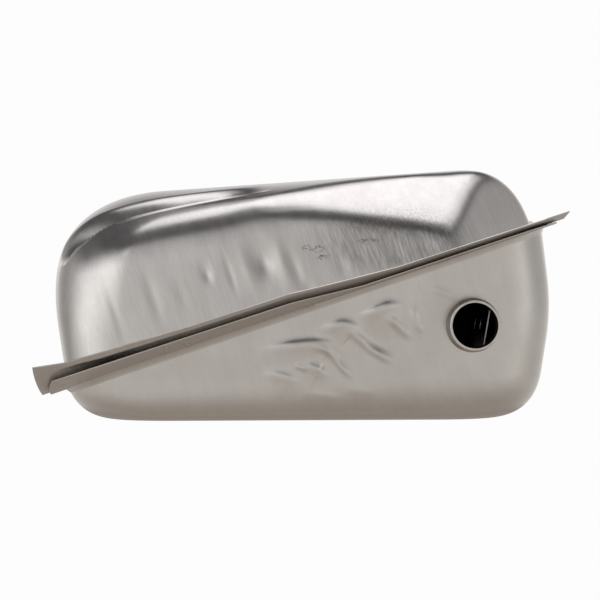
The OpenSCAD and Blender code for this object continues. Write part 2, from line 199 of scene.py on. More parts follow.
def upper_inside(p):
    """The upper body, with room under the lip so that the coarser inner skin stays inside."""
    return upper_body(p) + channel(p, INNER_LEAD) - channel(p) + lip(p)


def lower_body(p):
    x, y, z = p[..., 0], p[..., 1], p[..., 2]
    right = smooth_max(
        wall(x, HALF_LENGTH + LOW_RIGHT_STEP, LOW_RIGHT_DRAFT, -z),
        wall(x, KNUCKLE_REACH, KNUCKLE_DRAFT, -z),
        CREASE_BLEND)
    ends = np.maximum(wall(-x, HALF_LENGTH, LOW_LEFT_DRAFT, -z), right)
    body = smooth_max(ends, wall(np.abs(y), HALF_DEPTH, LOW_SIDE_DRAFT, -z), CORNER_BLEND)
    blend = mix(FLOOR_LEFT_BLEND, FLOOR_RIGHT_BLEND, np.clip(0.5 + x / (2 * HALF_LENGTH), 0, 1))
    return smooth_max(body, -floor_height(p), blend)


def plan(p, x, y, k):
    return smooth_max(np.abs(p[..., 0]) - x, np.abs(p[..., 1]) - y, k)


def reach(field, start, direction, level, high, steps=34):
    """Distance along each ray at which the field reaches a level."""
    low = np.zeros(start.shape[:-1])
    top = np.full(start.shape[:-1], float(high))
    for _ in range(steps):
        mid = (low + top) / 2
        inside = field(start + direction * mid[..., None]) < level
        low = np.where(inside, mid, low)
        top = np.where(inside, top, mid)
    return (low + top) / 2


def field_normal(field, p, step=0.05):
    grads = []
    for axis in range(3):
        d = np.zeros(3)
        d[axis] = step
        grads.append(field(p + d) - field(p - d))
    g = np.stack(grads, axis=-1)
    return g / np.maximum(np.linalg.norm(g, axis=-1, keepdims=True), 1e-9)


# ---------------------------------------------------------------- stations round the flange
def resample(points, spacing):
    """Closed outline with extra points on each side, at about the spacing given for it."""
    out = []
    for i, a in enumerate(points):
        b = points[(i + 1) % len(points)]
        step = spacing(a, b)
        n = max(1, round(float(np.linalg.norm(b - a)) / step))
        out += [mix(a, b, j / n) for j in range(n)]
    return np.array(out)


def flange_outline():
    quarter = [(0, -EAR[1]), (ARM[0], -EAR[1]), (EAR[0], -EAR[1]), (EAR[0], -EAR_INSET),
               (END_TRIM, -EAR_INSET + EAR_SHOULDER), (END_TRIM, -ARM[1])]
    right = quarter + [(x, -y) for x, y in reversed(quarter)][:-1]
    left = [(-x, -y) for x, y in quarter] + [(-x, y) for x, y in reversed(quarter)][:-1]
    corners = [np.array(p, dtype=float) for p in right + left]

    def spacing(a, b):
        return 1.8 if max(a[1], b[1]) <= -ARM[1] else 4.0
    return resample(corners, spacing)


OUTLINE = flange_outline()
ARMS = np.clip(OUTLINE, -ARM, ARM)
DIRS = OUTLINE - ARMS
DIRS /= np.linalg.norm(DIRS, axis=1, keepdims=True)
RIM = reach(lambda p: plan(p, HALF_LENGTH, HALF_DEPTH, CORNER_BLEND), ARMS, DIRS, 0, 120)
LOW_EDGE = reach(lambda p: plan(p, *LOW_FLANGE), ARMS, DIRS, 0, 120)


def fade(y):
    return np.clip((y - EAR_INSET - 2) / (EAR[1] - EAR_INSET - 2), 0, 1)


def edge_lift(p, near, far_share=1.0):
    far = far_share * lookup(p[:, 0], FAR_LIFT)
    return lookup(p[:, 0], near) * fade(-p[:, 1]) + far * fade(p[:, 1])


UPPER_LIFT = edge_lift(OUTLINE, NEAR_LIFT)
LOWER_LIFT = edge_lift(OUTLINE, LOW_NEAR_LIFT, LOW_FAR_SHARE)
BAND_SLOPE = LOWER_LIFT / (LOW_EDGE - RIM)


def flat(p, z):
    """Points in plan given a height, or one height each."""
    heights = np.asarray(z, dtype=float).reshape(-1, 1)
    return np.concatenate([p, np.broadcast_to(heights, (len(p), 1))], axis=1)


def band(out, z):
    return flat(ARMS + DIRS * (RIM + out)[:, None], z + BAND_SLOPE * out)


# ---------------------------------------------------------------- rings over a dome
RING_CROWDING = 0.3                  # 0 spaces the rings evenly, more crowds them towards the foot


def dome(field, level, z, pole, depth, rings):
    """Rings from just under the pole down to the wall foot, and the pole itself."""
    start = flat(ARMS, z)
    feet = start + flat(DIRS, 0) * reach(field, start, flat(DIRS, 0), level, 120)[:, None]
    centre = np.array([pole, 0, z])
    rows = []
    for r in range(rings - 1, 0, -1):
        t = r / rings
        angle = math.pi / 2 * mix(t, t * t, RING_CROWDING)
        rise = mix(depth(feet[:, 0]), depth(pole), math.sin(angle) ** 2)
        up = flat(np.zeros((len(feet), 2)), rise)
        direction = (feet - centre) * math.cos(angle) + up * math.sin(angle)
        origin = np.broadcast_to(centre, feet.shape)
        rows.append(centre + direction * reach(field, origin, direction, level, 2)[:, None])
    rows.append(feet)
    up = np.array([[0, 0, depth(pole)]])
    tip = centre + up * reach(field, centre[None, :], up, level, 2)[:, None]
    return rows, tip[0]


def upper_rise(x):
    return ROOF[0] - tan(ROOF[1]) * x


def lower_drop(x):
    return -(SEAM_HEIGHT + x * math.sin(SLOPE)) / math.cos(SLOPE)


# ---------------------------------------------------------------- marks pressed into the walls
# Each mark lies on the near wall, placed by x and z in mm, and moves the sheet out (+) or in (-).
def oval(x, z, at, size, lean, lift):
    """Smooth oval dent or bump, leaning left by an angle."""
    a = math.radians(lean)
    dx, dz = x - at[0], z - at[1]
    across = dx * math.cos(a) + dz * math.sin(a)
    along = dz * math.cos(a) - dx * math.sin(a)
    return lift * np.exp(-(across / size[0]) ** 2 - (along / size[1]) ** 2)


def polyline_frame(x, z, points):
    """Signed distance above a polyline, and how far along it each place is, from 0 to 1."""
    best = np.full(x.shape, 1e9)
    side = np.zeros(x.shape)
    along = np.zeros(x.shape)
    pts = np.array(points, dtype=float)
    lengths = np.linalg.norm(np.diff(pts, axis=0), axis=1)
    total = lengths.sum()
    run = 0.0
    for a, b, length in zip(pts[:-1], pts[1:], lengths):
        d = (b - a) / length
        t = np.clip((x - a[0]) * d[0] + (z - a[1]) * d[1], 0, length)
        ox, oz = x - a[0] - t * d[0], z - a[1] - t * d[1]
        dist = np.hypot(ox, oz)
        closer = dist < best
        best = np.where(closer, dist, best)
        side = np.where(closer, np.sign(d[0] * oz - d[1] * ox), side)
        along = np.where(closer, (run + t) / total, along)
        run += length
    return best * side, along


def smooth_line(points, steps=6):
    """Catmull-Rom curve through a few points."""
    p = [np.array(q, dtype=float) for q in points]
    p = [2 * p[0] - p[1]] + p + [2 * p[-1] - p[-2]]
    out = []
    for a, b, c, d in zip(p[:-3], p[1:-2], p[2:-1], p[3:]):
        for i in range(steps):
            t = i / steps
            out.append(0.5 * (2 * b + (c - a) * t + (2 * a - 5 * b + 4 * c - d) * t * t
                              + (3 * b - a - 3 * c + d) * t ** 3))
    out.append(p[-2])
    return out


def fold(x, z, points, lift, edge=1.8, fall=10.0):
    """Fold in the sheet: a sharp step on its upper side that dies away slowly below."""
    s, along = polyline_frame(x, z, smooth_line(points))
    step = 1 / (1 + np.exp(np.clip(s / edge, -30, 30)))
    taper = ease(along / 0.45) * ease((1 - along) / 0.45)
    return lift * step * np.exp(-np.maximum(-s, 0) / fall) * taper


def ridge(x, z, points, lift, width=2.0):
    s, along = polyline_frame(x, z, smooth_line(points))
    taper = ease(along / 0.35) * ease((1 - along) / 0.35)
    return lift * np.exp(-(s / width) ** 2) * taper


def waves(x, z, seed, length, lift):
    """Gentle uneven ripples, as a few crossed sine waves."""
    rng = np.random.default_rng(seed)
    total = np.zeros(x.shape)
    for _ in range(7):
        angle = rng.uniform(0, math.pi)
        k = 2 * math.pi / (length * rng.uniform(0.6, 1.6))
        phase = rng.uniform(0, 2 * math.pi)
        total += np.sin(k * (x * math.cos(angle) + z * math.sin(angle)) + phase)
    return lift * total / 7


DRAW_LEAN = SEAM_SLOPE

UPPER_DENTS = (                      # place, half size, lift
    ((-33.5, 145.0), (8.5, 15.0), -2.6),
    ((-83.0, 133.0), (4.5, 9.0), -1.3),
    ((-62.0, 133.0), (3.0, 14.0), -0.6),
    ((-46.0, 135.0), (6.0, 18.0), 0.8),
    ((-14.0, 138.0), (5.5, 20.0), 0.9),
    ((-4.0, 136.0), (4.5, 16.0), -0.8),
    ((-163.0, 97.0), (3.5, 22.0), -0.5),
    ((-129.0, 109.0), (4.5, 20.0), -0.6),
    ((-104.0, 112.0), (4.0, 12.0), -0.35),
    ((38.0, 137.0), (5.5, 12.0), -0.7),
    ((52.0, 152.0), (8.0, 9.0), -0.9),
    ((85.0, 149.0), (7.0, 9.0), -0.8),
    ((108.0, 158.0), (8.0, 8.0), -0.6),
    ((8.0, 118.0), (5.0, 8.0), -0.6),
)
LOWER_FOLDS = (                      # line, lift, fall below it
    (((-44, 64), (-24, 68.5), (-6, 71.5), (14, 73), (29, 71), (42, 58)), 4.6, 14.0),
    (((10, 81), (24, 86.5), (37, 90), (50, 86), (58, 76)), 3.9, 12.0),
    (((-4, 51), (10, 51.5), (20, 47), (30, 38)), 3.4, 8.0),
    (((-38, 44), (-20, 44.5), (-8, 41), (4, 34)), 3.0, 9.0),
    (((46, 93), (62, 100), (78, 106), (96, 104)), 4.4, 11.0),
    (((36, 31), (53, 31), (70, 25)), 1.4, 7.0),
    (((-2, 27), (20, 26), (42, 22)), 1.2, 6.0),
)
LOWER_RIDGES = (                     # line, lift, width
    (((38, 83), (50, 77), (62, 66), (72, 60), (86, 51)), 2.3, 4.2),
    (((8, 68), (24, 64), (38, 48), (50, 36)), 1.6, 3.0),
    (((74, 96), (86, 87), (100, 72)), 1.6, 4.0),
    (((100, 106), (102, 91), (110, 77)), 1.1, 3.6),
    (((-6, 52), (2, 49), (8, 48)), 0.7, 2.4),
    (((112, 120), (124, 116), (138, 110)), 0.6, 3.5),
    (((44, 76), (66, 70), (88, 74), (100, 90)), -1.1, 12.0),
)
UPPER_WAVES = (11, 60.0, 0.5)        # seed, wave length, lift
LOWER_WAVES = (23, 55.0, 0.45)


def upper_marks(x, z):
    total = waves(x, z, *UPPER_WAVES)
    for at, size, lift in UPPER_DENTS:
        total += oval(x, z, at, size, DRAW_LEAN, lift)
    return total


def lower_marks(x, z):
    total = waves(x, z, *LOWER_WAVES)
    for line, lift, fall in LOWER_FOLDS:
        total += fold(x, z, line, lift, fall=fall)
    for line, lift, width in LOWER_RIDGES:
        total += ridge(x, z, line, lift, width)
    return total


# ---------------------------------------------------------------- meshes
def ring_faces(first, count, rows):
    i = np.arange(count)
    j = (i + 1) % count
    quads = []
    for r in range(rows - 1):
        a, b = first + r * count, first + (r + 1) * count
        quads.append(np.stack([a + i, b + i, b + j, a + j], axis=1))
    return np.concatenate(quads)


def shell_mesh(name, rows, first_tip, last_tip):
    """Closed skin from a stack of rings between two tips, in the seam frame."""
    count = len(rows[0])
    points = np.concatenate(rows + [first_tip[None, :], last_tip[None, :]])
    quads = ring_faces(0, count, len(rows)).tolist()
    top = len(rows) * count
    i = np.arange(count)
    j = (i + 1) % count
    caps = np.stack([np.full(count, top), i, j], axis=1).tolist()
    end = (len(rows) - 1) * count
    caps += np.stack([end + i, np.full(count, top + 1), end + j], axis=1).tolist()
    mesh = bpy.data.meshes.new(name)
    mesh.from_pydata((to_world(points) * MM).tolist(), [], quads + caps)
    mesh.validate()
    obj = bpy.data.objects.new(name, mesh)
    bpy.context.collection.objects.link(obj)
    return obj


def refine(obj, chosen):
    """Splits each chosen face of a pressing into four; a face is chosen by its middle and normal, in mm."""
    bm = bmesh.new()
    bm.from_mesh(obj.data)
    picked = []
    for face in bm.faces:
        if chosen(face.calc_center_median() / MM, face.normal):
            picked.append(face)
    edges = list({e for f in picked for e in f.edges})
    bmesh.ops.subdivide_edges(bm, edges=edges, cuts=1, use_grid_fill=True)
    bm.to_mesh(obj.data)
    bm.free()


def on_near_wall(low, high):
    """Chooser of near-wall faces inside a box of x and z."""
    def chosen(middle, normal):
        inside = low[0] < middle.x < high[0] and low[1] < middle.z < high[1]
        return inside and middle.y < 0 and normal.y < -0.8
    return chosen


def on_lip(middle, normal):
    """Chooser of outer faces on the lip and on the channel's steep wall."""
    outer = normal.z > 0.3 or normal.y > 0.3 or normal.x < -0.5
    across = abs(middle.y - LIP_Y - CHANNEL_DROP / 2) < 1.5 * CHANNEL_DROP
    return outer and across and middle.x < LIP_END and middle.z > LIP_FOOT


def points_of(obj):
    """The mesh's points in mm, in the world and in the seam frame."""
    co = np.empty(len(obj.data.vertices) * 3)
    obj.data.vertices.foreach_get("co", co)
    world = co.reshape(-1, 3) / MM
    return world, from_world(world)


def move_points(obj, world):
    obj.data.vertices.foreach_set("co", (world * MM).ravel())
    obj.data.update()


def turn_to_world(v):
    return v[:, :1] * ALONG + v[:, 1:2] * ACROSS + v[:, 2:3] * SQUARE


def settle(obj, field, passes=3, step=0.05, farthest=4.0):
    """Draws the outer skin's points onto the field's surface, such as those added by refine."""
    world, local = points_of(obj)
    facing = np.empty(world.size)
    obj.data.vertices.foreach_get("normal", facing)
    outer = np.sum(facing.reshape(-1, 3) * turn_to_world(field_normal(field, local)), axis=1) > 0.3
    outer &= (local[:, 2] > 2 * FOOT) & (np.abs(field(local)) < farthest)
    for _ in range(passes):
        local = from_world(world)
        n = field_normal(field, local)
        slope = (field(local + n * step) - field(local - n * step)) / (2 * step)
        gap = field(local) / np.maximum(slope, 1)
        world -= turn_to_world(n) * np.where(outer, gap, 0)[:, None]
    move_points(obj, world)


def shade(obj, angle=40):
    obj.data.polygons.foreach_set("use_smooth", [True] * len(obj.data.polygons))
    obj.data.set_sharp_from_angle(angle=math.radians(angle))
    obj.data.update()


def root_ring(field, level, side, z):
    """Ring where a wall's bend meets the flange."""
    start = flat(ARMS, side * FOOT)
    out = ROOT + reach(field, start, flat(DIRS, 0), level, 120)
    return flat(ARMS + DIRS * out[:, None], z + BAND_SLOPE * np.maximum(out - RIM, 0))


def flange_rows(field, side, edge_points):
    """Rings over the flange from the bend on its outer face round the sheet's edge to the inner bend."""
    top, bottom = side * (HALF_GAP + SHEET), side * HALF_GAP
    inward = -flat(DIRS, 0)
    corner = 0.3
    upper, lower = edge_points(top), edge_points(bottom)
    drop = np.array([0, 0, corner if top > bottom else -corner])
    steps = (0.25, 0.5, 0.75)
    knee_top, knee_bottom = band(WELD_OUT, top), band(WELD_OUT, bottom)
    out = [root_ring(field, 0, side, top), band(WELD_IN, top), knee_top]
    out += [mix(knee_top, upper, t) for t in steps]
    out += [upper + inward * corner, upper - drop, lower + drop, lower + inward * corner]
    out += [mix(knee_bottom, lower, t) for t in reversed(steps)]
    out += [knee_bottom, band(WELD_IN, bottom), root_ring(field, -SHEET, side, bottom)]
    return out


def upper_edge(z):
    draw_in = 1 - (UPPER_LIFT / CURL) ** 2
    p = OUTLINE * np.stack([draw_in, np.ones(len(OUTLINE))], axis=1)
    return flat(p, z + UPPER_LIFT)


def lower_edge(z):
    return flat(ARMS + DIRS * LOW_EDGE[:, None], z + LOWER_LIFT)


OUTER_RINGS, INNER_RINGS = 100, 24
UPPER_DENT_BOX = (-95, 100), (25, 165)      # low and high corner, x and z on the near wall
LOWER_FOLD_BOX = (-60, 15), (145, 125)
LIP_END, LIP_FOOT = 15.0, 130.0             # the lip is refined left of this, and above this


def press(field, inside, side, pole, depth, name, edge_points):
    """One pressing: outer skin, flange and inner skin in a single closed mesh."""
    foot = side * FOOT
    outer, outer_tip = dome(field, 0, foot, pole, depth, OUTER_RINGS)
    inner, inner_tip = dome(inside, -SHEET, foot, pole, depth, INNER_RINGS)
    rows = outer + flange_rows(field, side, edge_points) + inner[::-1]
    if side < 0:
        rows = rows[::-1]
        outer_tip, inner_tip = inner_tip, outer_tip
    return shell_mesh(name, rows, outer_tip, inner_tip)


def mark(obj, field, marks):
    """Moves the walls of a pressing along their own normals by its marks."""
    world, local = points_of(obj)
    n_world = turn_to_world(field_normal(field, local))
    facing = ease(-n_world[:, 1] / 0.8)
    away = ease((np.abs(local[:, 2]) - FOOT) / 10)
    lift = marks(world[:, 0], world[:, 2]) * facing * away
    move_points(obj, world + n_world * lift[:, None])


def round_hole(obj, x, z, radius, far):
    """Cuts a true hole through a side wall."""
    bpy.ops.mesh.primitive_cylinder_add(vertices=96, radius=radius * MM, depth=60 * MM,
                                        location=(x * MM, (90 if far else -90) * MM, z * MM),
                                        rotation=(math.pi / 2, 0, 0))
    cutter = bpy.context.object
    mod = obj.modifiers.new("hole", "BOOLEAN")
    mod.operation = "DIFFERENCE"
    mod.solver = "EXACT"
    mod.object = cutter
    graph = bpy.context.evaluated_depsgraph_get()
    mesh = bpy.data.meshes.new_from_object(obj.evaluated_get(graph))
    obj.modifiers.clear()
    obj.data = mesh
    bpy.data.objects.remove(cutter, do_unlink=True)


upper_skin = press(upper_body, upper_inside, 1, UPPER_POLE, upper_rise, "upper_pressing", upper_edge)
refine(upper_skin, on_near_wall(*UPPER_DENT_BOX))
for _ in range(2):
    refine(upper_skin, on_lip)
    settle(upper_skin, upper_body)
mark(upper_skin, upper_body, upper_marks)
shade(upper_skin)

lower_skin = press(lower_body, lower_body, -1, LOWER_POLE, lower_drop, "lower_pressing", lower_edge)
refine(lower_skin, on_near_wall(*LOWER_FOLD_BOX))
mark(lower_skin, lower_body, lower_marks)
round_hole(lower_skin, NECK_X, NECK_Z, NECK_OUTER + HOLE_PLAY, False)
round_hole(lower_skin, TAP_X, TAP_Z, TAP_OUTER + HOLE_PLAY, True)
shade(lower_skin)

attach(upper_skin, "root")
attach(lower_skin, "root")
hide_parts("upper_shell")
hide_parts("lower_shell")


# ---------------------------------------------------------------- materials
class Nodes:
    """Short way to build a node tree."""

    def __init__(self, tree):
        self.tree = tree
        tree.nodes.clear()

    def add(self, kind, inputs=None, **settings):
        node = self.tree.nodes.new(kind)
        for key, value in settings.items():
            setattr(node, key, value)
        for key, value in (inputs or {}).items():
            if isinstance(value, bpy.types.NodeSocket):
                self.tree.links.new(value, node.inputs[key])
            else:
                node.inputs[key].default_value = value
        return node

    def math(self, operation, a, b=0.0, clamp=False):
        node = self.add("ShaderNodeMath", operation=operation, use_clamp=clamp)
        for i, value in enumerate((a, b)):
            if isinstance(value, bpy.types.NodeSocket):
                self.tree.links.new(value, node.inputs[i])
            else:
                node.inputs[i].default_value = value
        return node.outputs[0]

    def ramp(self, factor, stops, interpolation="LINEAR"):
        node = self.add("ShaderNodeValToRGB", {"Fac": factor})
        ramp = node.color_ramp
        ramp.interpolation = interpolation
        while len(ramp.elements) < len(stops):
            ramp.elements.new(0.5)
        for element, (place, colour) in zip(ramp.elements, stops):
            element.position = place
            element.color = (*colour, 1) if len(colour) == 3 else colour
        return node.outputs["Color"]

    def mix(self, factor, a, b, blend="MIX"):
        node = self.add("ShaderNodeMix", data_type="RGBA", blend_type=blend)
        for socket, value in ((node.inputs[0], factor), (node.inputs[6], a), (node.inputs[7], b)):
            if isinstance(value, bpy.types.NodeSocket):
                self.tree.links.new(value, socket)
            elif isinstance(value, tuple):
                socket.default_value = (*value, 1)
            else:
                socket.default_value = value
        return node.outputs[2]


def noise(n, vector, scale, detail=3.0, rough=0.5):
    settings = {"Vector": vector, "Scale": scale, "Detail": detail, "Roughness": rough}
    return n.add("ShaderNodeTexNoise", settings).outputs["Fac"]


FILM_COLOUR = (0.42, 0.375, 0.34, 1)
# Painted shade: near-black colour for faces inside the tank and inside the neck bore, standing in for the
# shade in there.
INSIDE_PAINTED_SHADE = (0.012, 0.010, 0.009)
SCUFF_PLACE, SCUFF_SIZE = (85, -88, 160), (95, 60, 42)
SCRATCH_SPOTS = (((12, -88, 154), (14, 20, 5)), ((21, -88, 147), (8, 20, 4)), ((60, -88, 161), (13, 20, 4)))


def dot(n, a, b):
    return n.add("ShaderNodeVectorMath", {0: a, 1: b}, operation="DOT_PRODUCT").outputs["Value"]


def inside_share(n, position, normal, middle, depth_limit, plan_limit):
    """One on faces that look in towards the middle and lie within the walls in plan, else nothing."""
    offset = n.add("ShaderNodeVectorMath", {0: position, 1: tuple(v * MM for v in middle)},
                   operation="SUBTRACT").outputs[0]
    inside = n.math("LESS_THAN", dot(n, normal, offset), depth_limit * MM)
    total = 0.0
    for axis, limit in zip((ALONG, ACROSS), plan_limit):
        size = n.math("ABSOLUTE", dot(n, offset, tuple(axis)))
        inside = n.math("MULTIPLY", inside, n.math("LESS_THAN", size, limit * MM))
        total = n.math("ADD", size, total)
    corner_cut = (sum(plan_limit) - CORNER_BLEND / 2) * MM
    return n.math("MULTIPLY", inside, n.math("LESS_THAN", total, corner_cut))


def raw_steel(name, tone, stain, rough, streak=0.35, grain=1.0, blotch=0.5, scuffs=0.0,
              middle=SEAM_ORIGIN, inside_limit=-40.0, plan_limit=(HALF_LENGTH + 1, HALF_DEPTH + 1)):
    """Bare drawn steel: base tone, oxide stain, draw streaks, grain, dull blotches, and a matt
    brown film on faces that look down. The inside of a pressing is painted near black and matt, as painted
    shade."""
    mat = bpy.data.materials.new(name)
    mat.use_nodes = True
    n = Nodes(mat.node_tree)
    place = n.add("ShaderNodeTexCoord").outputs["Object"]
    turned = n.add("ShaderNodeMapping", {"Vector": place, "Rotation": (0, SLOPE, 0)}).outputs["Vector"]
    drawn = n.add("ShaderNodeMapping", {"Vector": turned, "Scale": (1, 1, 0.035)}).outputs["Vector"]
    wide = noise(n, place, 14, 4, 0.6)
    speck = noise(n, place, 1100, 2, 0.7)
    lines = noise(n, drawn, 620, 5, 0.62)
    broad = noise(n, drawn, 120, 3, 0.5)

    stain_share = n.ramp(wide, [(0.35, (0, 0, 0)), (0.75, (blotch, blotch, blotch))])
    colour = n.mix(stain_share, tone, stain)
    shade_lines = n.ramp(lines, [(0.3, (1 - streak * 0.45,) * 3), (0.7, (1, 1, 1))])
    colour = n.mix(1.0, colour, shade_lines, "MULTIPLY")
    shade_broad = n.ramp(broad, [(0.25, (1 - streak * 0.5,) * 3), (0.6, (1, 1, 1))])
    colour = n.mix(1.0, colour, shade_broad, "MULTIPLY")
    pits = n.ramp(speck, [(0.24, (0.62, 0.60, 0.57)), (0.30, (1, 1, 1))])
    colour = n.mix(1.0, colour, pits, "MULTIPLY")
    if scuffs:
        colour = n.mix(n.math("MULTIPLY", scuff_share(n, place, lines), scuffs), colour, (0.30, 0.29, 0.28))
        colour = n.mix(scratch_share(n, place), colour, (0.10, 0.09, 0.085))

    spread = n.math("MULTIPLY", n.math("SUBTRACT", broad, 0.5), 0.16 * streak / 0.35)
    dull = n.math("MULTIPLY", n.math("SUBTRACT", wide, 0.5), 0.22 * blotch / 0.5)
    roughness = n.math("ADD", n.math("ADD", rough, spread), dull, clamp=True)

    fine = n.add("ShaderNodeBump", {"Height": lines, "Strength": 0.10 * streak / 0.35, "Distance": 0.0004})
    bump = n.add("ShaderNodeBump", {"Height": noise(n, place, 420, 4, 0.6), "Strength": 0.10 * grain,
                                    "Distance": 0.0005, "Normal": fine.outputs["Normal"]})
    geometry = n.add("ShaderNodeNewGeometry")
    normal, position = geometry.outputs["True Normal"], geometry.outputs["Position"]
    inside = inside_share(n, position, normal, middle, inside_limit, plan_limit)
    # Painted shade: faces inside the pressing, or inside the neck bore, are painted near black and made
    # matt.
    colour = n.mix(inside, colour, INSIDE_PAINTED_SHADE)
    outside = n.math("SUBTRACT", 1.0, inside)
    metal = n.add("ShaderNodeBsdfPrincipled", {
        "Base Color": colour, "Metallic": outside, "Roughness": n.math("MAXIMUM", roughness, inside),
        "Specular IOR Level": 0.1, "Normal": bump.outputs["Normal"]})
    film = n.add("ShaderNodeBsdfDiffuse", {"Color": FILM_COLOUR})
    fall = n.add("ShaderNodeSeparateXYZ", {"Vector": normal}).outputs["Z"]
    film_share = n.math("MULTIPLY", n.ramp(n.math("MULTIPLY", fall, -1.0), [
        (0.70, (0, 0, 0)), (0.86, (0.8, 0.8, 0.8))]), outside)
    skin = n.add("ShaderNodeMixShader", {0: film_share, 1: metal.outputs["BSDF"], 2: film.outputs["BSDF"]})
    n.add("ShaderNodeOutputMaterial", {"Surface": skin.outputs["Shader"]})
    return mat


def spot_share(n, place, middle, size, inner):
    """One inside an oval spot, falling to nothing at its rim."""
    spot = n.add("ShaderNodeVectorMath", {0: place, 1: tuple(v * MM for v in middle)},
                 operation="SUBTRACT").outputs[0]
    scaled = n.add("ShaderNodeVectorMath", {0: spot, 1: tuple(1 / (v * MM) for v in size)},
                   operation="MULTIPLY").outputs[0]
    away = n.add("ShaderNodeVectorMath", {0: scaled}, operation="LENGTH").outputs["Value"]
    return n.ramp(away, [(inner, (1, 1, 1)), (1.0, (0, 0, 0))], "EASE")


def scuff_share(n, place, lines):
    """Brushed, dirty patch in the upper near wall."""
    patch = spot_share(n, place, SCUFF_PLACE, SCUFF_SIZE, 0.35)
    brushed = n.ramp(lines, [(0.40, (1, 1, 1)), (0.62, (0.25, 0.25, 0.25))])
    return n.math("MULTIPLY", patch, brushed)


def scratch_share(n, place):
    """Short dark scrapes: thin broken lines of a noise, kept to a few small spots."""
    lean = n.add("ShaderNodeMapping", {"Vector": place, "Rotation": (0, -0.5, 0), "Scale": (0.35, 1, 1)})
    wave = n.math("ABSOLUTE", n.math("SUBTRACT", noise(n, lean.outputs["Vector"], 330, 3, 0.6), 0.5))
    line = n.ramp(wave, [(0.008, (1, 1, 1)), (0.03, (0, 0, 0))])
    total = 0.0
    for middle, size in SCRATCH_SPOTS:
        scrape = n.math("MULTIPLY", spot_share(n, place, middle, size, 0.5), line)
        total = n.math("ADD", total, scrape, clamp=True)
    return total


def sheared_steel(name):
    """Baffle sheet inside the tank: faces and wall tabs painted near black as painted shade, sheared edges
    bright.
    """
    mat = bpy.data.materials.new(name)
    mat.use_nodes = True
    n = Nodes(mat.node_tree)
    place = n.add("ShaderNodeTexCoord").outputs["Object"]
    geometry = n.add("ShaderNodeNewGeometry")
    toward = n.add("ShaderNodeSeparateXYZ", {"Vector": geometry.outputs["True Normal"]}).outputs["Y"]
    across = n.add("ShaderNodeSeparateXYZ", {"Vector": geometry.outputs["Position"]}).outputs["Y"]
    clear_of_wall = n.math("LESS_THAN", n.math("ABSOLUTE", across), 75 * MM)
    edge = n.math("MULTIPLY", n.math("GREATER_THAN", n.math("ABSOLUTE", toward), 0.9), clear_of_wall)
    # Painted shade: the baffle's faces and wall tabs inside the tank are painted near black, with a faint
    # mottle.
    painted_shade_tone = n.ramp(noise(n, place, 60, 4, 0.6), [(0.3, (0.010, 0.009, 0.008)), (0.7, (0.020, 0.018, 0.016))])
    colour = n.mix(edge, painted_shade_tone, (0.75, 0.73, 0.70))
    bump = n.add("ShaderNodeBump", {"Height": noise(n, place, 500, 3, 0.6), "Strength": 0.15,
                                    "Distance": 0.0004})
    shader = n.add("ShaderNodeBsdfPrincipled", {
        "Base Color": colour, "Metallic": edge, "Roughness": 0.4, "Specular IOR Level": 0.1,
        "Normal": bump.outputs["Normal"]})
    n.add("ShaderNodeOutputMaterial", {"Surface": shader.outputs["BSDF"]})
    return mat


def dress(obj, material):
    obj.data.materials.clear()
    obj.data.materials.append(material)


upper_steel = raw_steel("upper_steel", (0.66, 0.645, 0.63), (0.56, 0.535, 0.505), 0.17,
                        streak=0.16, grain=0.4, scuffs=0.75)
lower_steel = raw_steel("lower_steel", (0.64, 0.62, 0.595), (0.55, 0.515, 0.475), 0.25,
                        streak=0.07, grain=0.5)
# Painted shade: faces inside the neck bore get the near-black inside colour.
neck_steel = raw_steel("neck_steel", (0.70, 0.68, 0.65), (0.60, 0.57, 0.53), 0.25,
                       middle=(NECK_X, 0, NECK_Z), inside_limit=-10.0, plan_limit=(50, 150))
boss_steel = raw_steel("boss_steel", (0.52, 0.50, 0.47), (0.42, 0.39, 0.35), 0.35)
baffle_steel = sheared_steel("baffle_steel")
weld_metal = raw_steel("weld_metal", (0.42, 0.40, 0.38), (0.33, 0.28, 0.24), 0.42, grain=3.0)

dress(upper_skin, upper_steel)
dress(lower_skin, lower_steel)
CAD_FINISH = {
    "seam_weld": weld_metal, "filler_neck": neck_steel, "filler_neck_weld": weld_metal,
    "outlet_boss": boss_steel, "outlet_boss_weld": weld_metal, "main_baffle": baffle_steel,
    "end_baffle": baffle_steel, "baffle_spot_welds": weld_metal,
}
for node_name, finish in CAD_FINISH.items():
    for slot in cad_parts[node_name].material_slots:
        slot.material = finish


# ---------------------------------------------------------------- studio
STUDIO_HEIGHT = (                    # elevation in degrees, brightness seen in that direction
    (-90, 0.35), (-60, 0.40), (-40, 0.48), (-25, 0.60), (-8, 0.67), (5, 0.58), (18, 0.48),
    (32, 0.36), (40, 0.14), (50, 0.08), (58, 0.20), (64, 0.85), (70, 1.30), (90, 1.45))
STUDIO_PATCHES = (                   # azimuth and elevation, half size, edge, brightness
    ((-48, 17), (32, 19), 2, 1.32),  # key light at the left front
    ((-28, 35), (13, 9), 2, 0.80),   # its upper spill
    ((-110, 5), (24, 32), 2, 0.42),  # dark flag at the left
    ((-152, 12), (15, 13), 2, 1.10),
    ((180, 10), (22, 24), 2, 0.75),  # lights behind
    ((160, 8), (16, 18), 2, 1.00),
    ((50, -2), (18, 13), 2, 0.95),   # fill at the right front
    ((95, 5), (30, 22), 2, 0.50),    # dark flag at the right
    ((70, 60), (42, 13), 2, 1.10),   # upper light at the right
    ((-76, 58), (75, 12), 7, 0.12))  # dark ceiling panel at the left, with firm edges


STUDIO_TINT = (                      # share of the way up from straight below, tint of the light
    (0.05, (1.13, 1.0, 0.88)), (0.35, (1.05, 1.0, 0.95)),
    (0.5, (1.02, 1.0, 0.97)), (0.75, (1.0, 0.98, 1.0)))
BACKDROP = (0.98, 0.98, 0.98)


